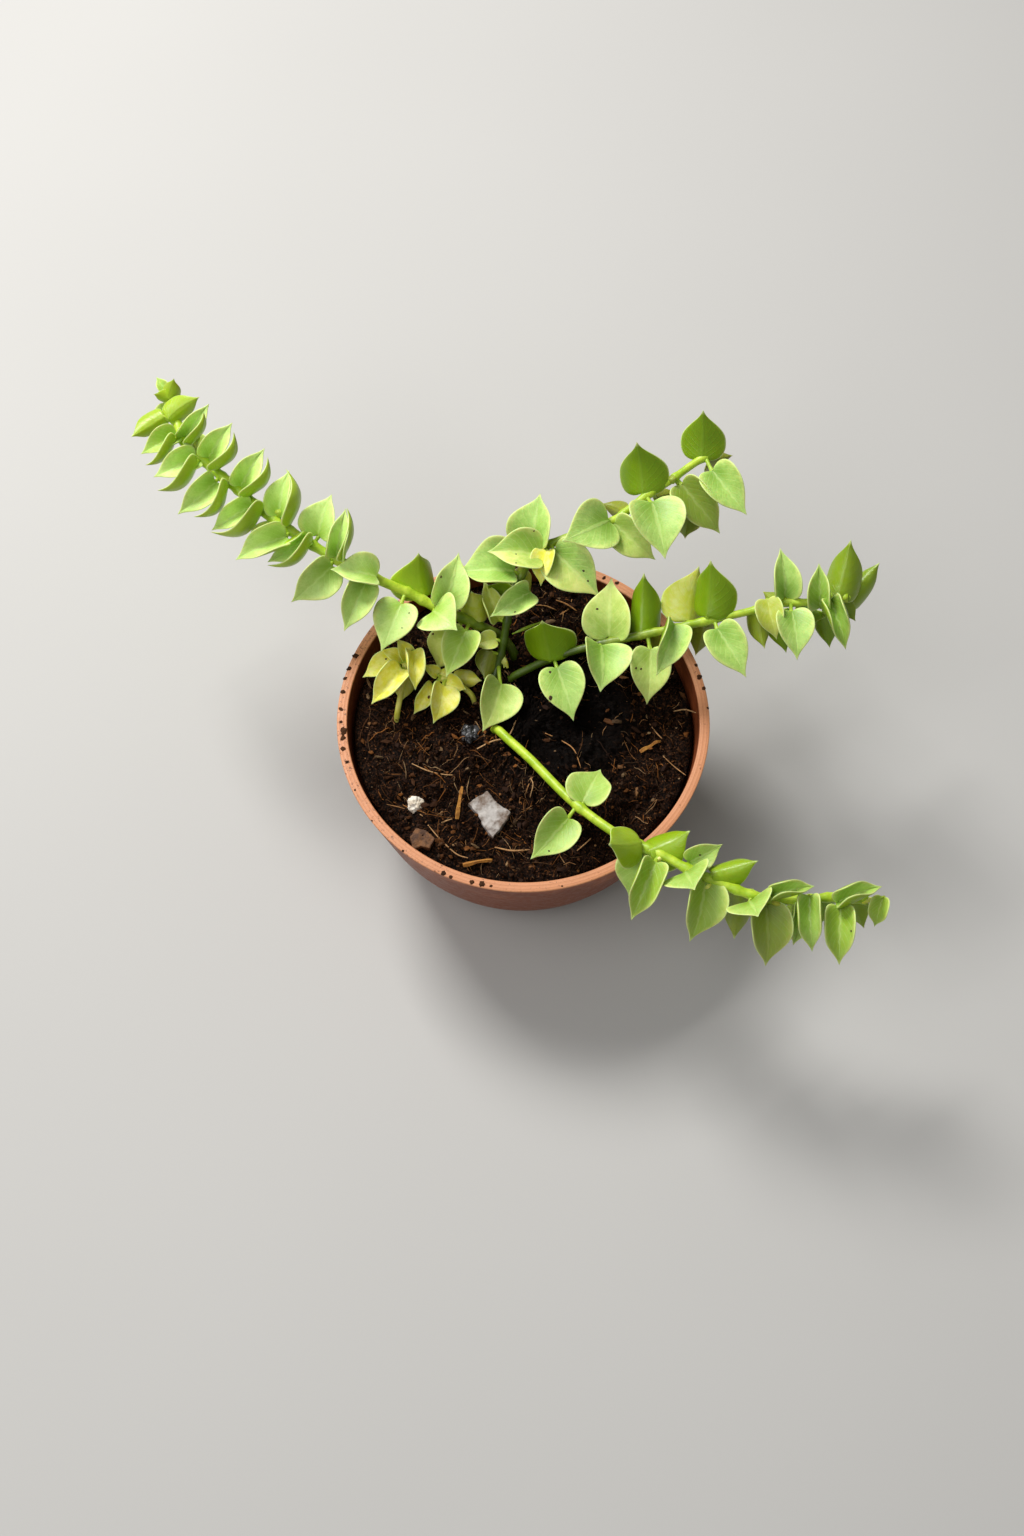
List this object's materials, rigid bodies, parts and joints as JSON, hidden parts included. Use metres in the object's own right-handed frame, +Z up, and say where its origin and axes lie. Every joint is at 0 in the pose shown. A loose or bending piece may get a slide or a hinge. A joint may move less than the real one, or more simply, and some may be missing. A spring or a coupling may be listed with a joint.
{
  "type": "potted plant",
  "caption": "Trailing dischidia with small thick heart-shaped leaves on thin stems, rooted in dark potting mix in a shallow terracotta-coloured bowl pot.",
  "frame": {"origin": "centre of the pot's flat underside, on the surface that it stands on", "axes": "+Z up through the pot's axis, -Y towards the viewer, +X to the viewer's right"},
  "size_m": [0.2596, 0.2058, 0.1151],
  "materials": {
    "pot": "satin moulded plastic",
    "soil": "damp crumbly coir and bark mix",
    "leaf": "waxy flesh with a bloom",
    "yellow_leaf": "waxy fading flesh",
    "chip": "rough broken face",
    "bark": "rough bark",
    "pebble": "damp smooth stone",
    "perlite": "porous white grain",
    "stick": "dry fibre"
  },
  "bodies": {
    "root": {"pot": "pot", "soil": "soil", "back_vine": "leaf", "left_vine": "leaf", "right_vine": "leaf", "front_vine": "leaf", "near_yellow_shoot": "yellow_leaf", "far_yellow_shoot": "yellow_leaf", "grey_chip": "chip", "bark_piece": "bark", "dark_pebble": "pebble", "perlite_grain": "perlite", "amber_stick_1": "stick", "amber_stick_2": "stick", "amber_stick_3": "stick"}
  },
  "joints": []
}
